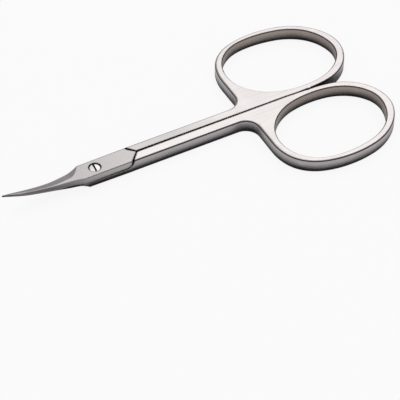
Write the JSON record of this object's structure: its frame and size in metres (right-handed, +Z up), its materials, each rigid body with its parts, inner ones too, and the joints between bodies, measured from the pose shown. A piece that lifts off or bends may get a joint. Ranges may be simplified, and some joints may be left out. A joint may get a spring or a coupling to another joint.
{
  "type": "cuticle scissors",
  "caption": "Small steel scissors with slender upward-curved tower-point blades, a sunken slotted pivot screw, slim shanks and oval finger rings, for trimming cuticles.",
  "frame": {"origin": "middle of the closed tool's outline, on the surface it lies on", "axes": "+X from the blade tips to the finger rings, +Y across to the upper half's ring, +Z up from the surface, along the pivot and the way the tips curve"},
  "size_m": [0.0906, 0.0462, 0.0048],
  "materials": {
    "half_steel": "satin ground and polished stainless steel",
    "screw_steel": "turned stainless steel"
  },
  "bodies": {
    "lower": {"lower_half": "half_steel", "pivot_screw": "screw_steel"},
    "upper": {"upper_half": "half_steel"}
  },
  "joints": [
    {"name": "pivot", "type": "hinge", "parent": "lower", "child": "upper", "pos_m": [-0.0233, 0, 0], "axis": [0, 0, 1], "range_deg": [0, 80]}
  ]
}
